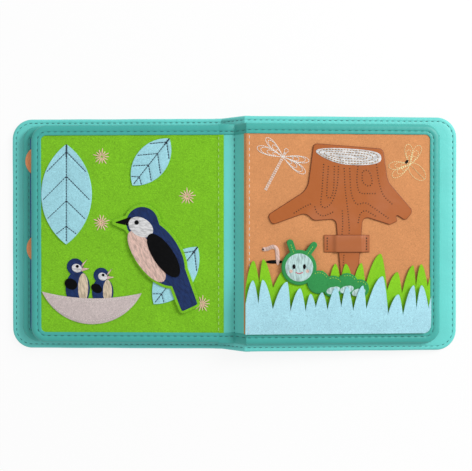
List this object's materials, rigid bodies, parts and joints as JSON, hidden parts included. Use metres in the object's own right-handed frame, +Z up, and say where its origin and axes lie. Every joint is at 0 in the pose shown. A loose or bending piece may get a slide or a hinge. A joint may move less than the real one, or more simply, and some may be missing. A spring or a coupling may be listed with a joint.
{
  "type": "cloth quiet book",
  "caption": "Open soft cloth activity book with padded imitation-leather covers and bound felt leaves that carry sewn-on shapes, pockets, a flap and loose felt figures.",
  "frame": {"origin": "on the floor below the middle of the open book's box", "axes": "+X across the open spread from the front cover to the back cover, +Y to the head of the pages, +Z up"},
  "size_m": [0.4006, 0.208, 0.0315],
  "materials": {
    "cover_leather": "soft turquoise imitation leather, fine grain, satin",
    "lining_leather": "smooth bright turquoise imitation leather",
    "binding_leather": "turquoise imitation leather tape, folded and sewn",
    "green_felt": "apple green felt",
    "blue_felt": "mid blue felt",
    "sky_felt": "light blue felt",
    "brown_felt": "tan brown felt",
    "orange_felt": "orange felt",
    "wadding": "white polyester wadding",
    "nest_felt": "pinkish grey felt",
    "stump_leather": "red-brown imitation leather with a dark cut edge",
    "cream_thread": "white satin-stitch embroidery",
    "navy_thread": "navy satin-stitch embroidery",
    "black_thread": "black satin-stitch embroidery",
    "pink_thread": "pale pink satin-stitch embroidery",
    "leaf_felt": "mid green felt",
    "mint_thread": "pale mint satin-stitch embroidery"
  },
  "bodies": {
    "front_half": {"front_cover": "cover_leather", "front_lining": "lining_leather", "lower_leaf_binding": "binding_leather", "lower_leaf_reverse": "blue_felt", "lower_leaf_pad": "wadding", "lower_leaf_felt": "blue_felt", "lower_leaf_discs": "orange_felt", "green_leaf_binding": "binding_leather", "green_leaf_reverse": "sky_felt", "green_leaf_pad": "wadding", "green_leaf_felt": "green_felt", "large_leaf": "sky_felt", "upper_leaf": "sky_felt", "side_leaf": "sky_felt", "nest_pocket": "nest_felt", "chick_bodies": "navy_thread", "chick_faces": "cream_thread", "bird_backing": "green_felt", "bird_back": "navy_thread", "bird_beak": "black_thread", "bird_cheek": "cream_thread", "bird_breast": "pink_thread", "bird_wing": "black_thread"},
    "spine": {"spine_panel": "cover_leather", "spine_lining": "lining_leather", "gutter_strip": "lining_leather"},
    "back_half": {"back_cover": "cover_leather", "back_lining": "lining_leather", "brown_leaf_binding": "binding_leather", "brown_leaf_reverse": "sky_felt", "brown_leaf_pad": "wadding", "brown_leaf_felt": "brown_felt", "stump_flap": "stump_leather", "stump_cut_face": "cream_thread", "keeper_strap": "stump_leather", "worm": "pink_thread", "grass_back": "green_felt", "grub_body": "leaf_felt", "grub_face": "mint_thread", "grass_front": "sky_felt"}
  },
  "joints": [
    {"name": "front_fold", "type": "hinge", "parent": "front_half", "child": "spine", "pos_m": [-0.01034, 0, 0.005], "axis": [0, -1, 0], "range_deg": [0, 53]},
    {"name": "back_fold", "type": "hinge", "parent": "spine", "child": "back_half", "pos_m": [0.01122, 0, 0.02125], "axis": [0, -1, 0], "range_deg": [0, 131.94]}
  ]
}
